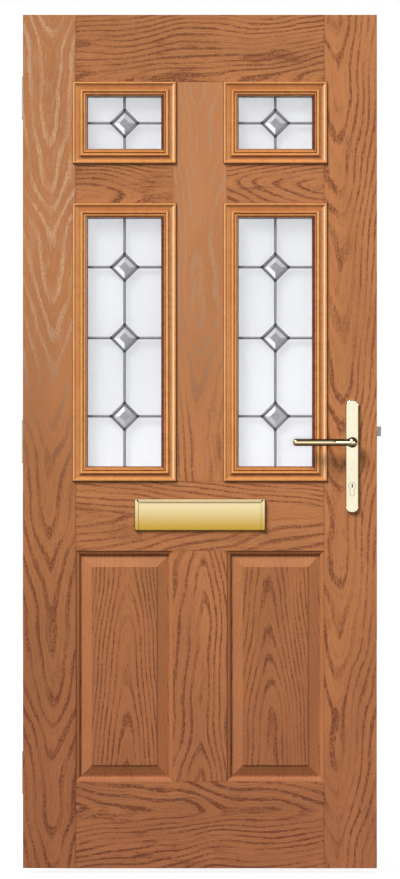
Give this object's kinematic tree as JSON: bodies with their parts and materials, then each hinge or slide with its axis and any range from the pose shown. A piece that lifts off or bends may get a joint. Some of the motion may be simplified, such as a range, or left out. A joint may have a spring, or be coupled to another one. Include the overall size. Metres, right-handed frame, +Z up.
{
  "type": "panelled front door",
  "caption": "Hinged composite door leaf with raised panels, leaded glass lights, flapped letter plate, lever handles and a key-driven multipoint lock",
  "frame": {"origin": "middle of the leaf's bottom edge, halfway through its thickness", "axes": "+Z up, -Y towards the outside of the house, +X towards the lock edge"},
  "size_m": [0.879, 0.1534, 2.083],
  "materials": {
    "woodgrain_skin": "embossed oak grain, satin",
    "cassette_oak": "smooth golden oak foil",
    "core_foam": "rigid foam",
    "timber": "planed",
    "clear_glass": "obscure",
    "lead": "dull grey lead",
    "spacer_metal": "mill",
    "gold_brass": "polished",
    "white_sleeve": "moulded",
    "lock_steel": "zinc plated",
    "hinge_steel": "satin brass plated"
  },
  "bodies": {
    "frame_side": {"hinge_frame_leaf_bottom": "hinge_steel", "hinge_frame_leaf_middle": "hinge_steel", "hinge_frame_leaf_top": "hinge_steel", "hinge_pins": "hinge_steel"},
    "leaf": {"outer_skin": "woodgrain_skin", "inner_skin": "woodgrain_skin", "outer_cassette_upper_left": "cassette_oak", "outer_cassette_upper_right": "cassette_oak", "outer_cassette_main_left": "cassette_oak", "outer_cassette_main_right": "cassette_oak", "inner_cassette_upper_left": "cassette_oak", "inner_cassette_upper_right": "cassette_oak", "inner_cassette_main_left": "cassette_oak", "inner_cassette_main_right": "cassette_oak", "foam_core": "core_foam", "hinge_stile": "timber", "lock_stile": "timber", "top_rail": "timber", "bottom_rail": "timber", "outer_panes": "clear_glass", "inner_panes": "clear_glass", "bevel_diamonds": "clear_glass", "lead_came_upper_left": "lead", "lead_came_upper_right": "lead", "lead_came_main_left": "lead", "lead_came_main_right": "lead", "spacer_bars": "spacer_metal", "letter_outer_frame": "gold_brass", "letter_inner_frame": "gold_brass", "outer_handle_plate": "gold_brass", "inner_handle_plate": "gold_brass", "cylinder_body": "gold_brass", "letter_sleeve": "white_sleeve", "letter_flap_pins": "lock_steel", "letter_bolts": "lock_steel", "handle_bolts": "lock_steel", "cylinder_screw": "lock_steel", "lock_faceplate": "lock_steel", "lock_case": "lock_steel", "hook_cases": "lock_steel", "faceplate_screws": "lock_steel", "cassette_screws": "lock_steel", "hinge_door_leaf_bottom": "hinge_steel", "hinge_door_leaf_middle": "hinge_steel", "hinge_door_leaf_top": "hinge_steel", "hinge_screws": "hinge_steel"},
    "outer_flap": {"letter_outer_flap": "gold_brass"},
    "inner_flap": {"letter_inner_flap": "gold_brass"},
    "lever_set": {"outer_lever": "gold_brass", "inner_lever": "gold_brass", "spindle": "lock_steel", "lock_follower": "lock_steel"},
    "latch": {"latch_bolt": "lock_steel"},
    "key_set": {"cylinder_plug": "gold_brass", "cylinder_cam": "lock_steel", "thumb_turn": "gold_brass"},
    "bolt": {"dead_bolt": "lock_steel"},
    "hook_low": {"lower_hook": "lock_steel"},
    "hook_high": {"upper_hook": "lock_steel"},
    "rail": {"drive_rail": "lock_steel"}
  },
  "joints": [
    {"name": "door_swing", "type": "hinge", "parent": "frame_side", "child": "leaf", "pos_m": [-0.4308, 0.0282, 1.0415], "axis": [0, 0, 1], "range_deg": [0, 110]},
    {"name": "lever_turn", "type": "hinge", "parent": "leaf", "child": "lever_set", "pos_m": [0.3714, 0, 1.0395], "axis": [0, -1, 0], "range_deg": [0, 40], "stiffness_Nm_per_rad": 1.5, "springref_deg": -28.65},
    {"name": "latch_slide", "type": "slide", "parent": "leaf", "child": "latch", "axis": [-1, 0, 0], "range_m": [0, 0.011]},
    {"name": "key_turn", "type": "hinge", "parent": "leaf", "child": "key_set", "pos_m": [0.3714, 0, 0.9336], "axis": [0, -1, 0], "range_deg": [0, 360]},
    {"name": "dead_bolt_slide", "type": "slide", "parent": "leaf", "child": "bolt", "axis": [1, 0, 0], "range_m": [0, 0.02]},
    {"name": "lower_hook_turn", "type": "hinge", "parent": "leaf", "child": "hook_low", "pos_m": [0.408, 0, 0.38], "axis": [0, -1, 0], "range_deg": [0, 90]},
    {"name": "upper_hook_turn", "type": "hinge", "parent": "leaf", "child": "hook_high", "pos_m": [0.408, 0, 1.7], "axis": [0, -1, 0], "range_deg": [0, 90]},
    {"name": "drive_rail_slide", "type": "slide", "parent": "leaf", "child": "rail", "axis": [0, 0, 1], "range_m": [0, 0.018]},
    {"name": "outer_flap_swing", "type": "hinge", "parent": "leaf", "child": "outer_flap", "pos_m": [0, -0.0299, 0.8958], "axis": [-1, 0, 0], "range_deg": [0, 90], "stiffness_Nm_per_rad": 0.15, "springref_deg": -28.65},
    {"name": "inner_flap_swing", "type": "hinge", "parent": "leaf", "child": "inner_flap", "pos_m": [0, 0.0299, 0.8958], "axis": [1, 0, 0], "range_deg": [0, 90], "stiffness_Nm_per_rad": 0.15, "springref_deg": -28.65}
  ],
  "couplings": [
    {"joint": "latch_slide", "follows": "lever_turn", "m_per_rad": 0.01575},
    {"joint": "key_turn", "follows": "drive_rail_slide", "rad_per_m": 349},
    {"joint": "dead_bolt_slide", "follows": "drive_rail_slide", "ratio": 1.11},
    {"joint": "lower_hook_turn", "follows": "drive_rail_slide", "rad_per_m": 87.2},
    {"joint": "upper_hook_turn", "follows": "drive_rail_slide", "rad_per_m": 87.2}
  ]
}
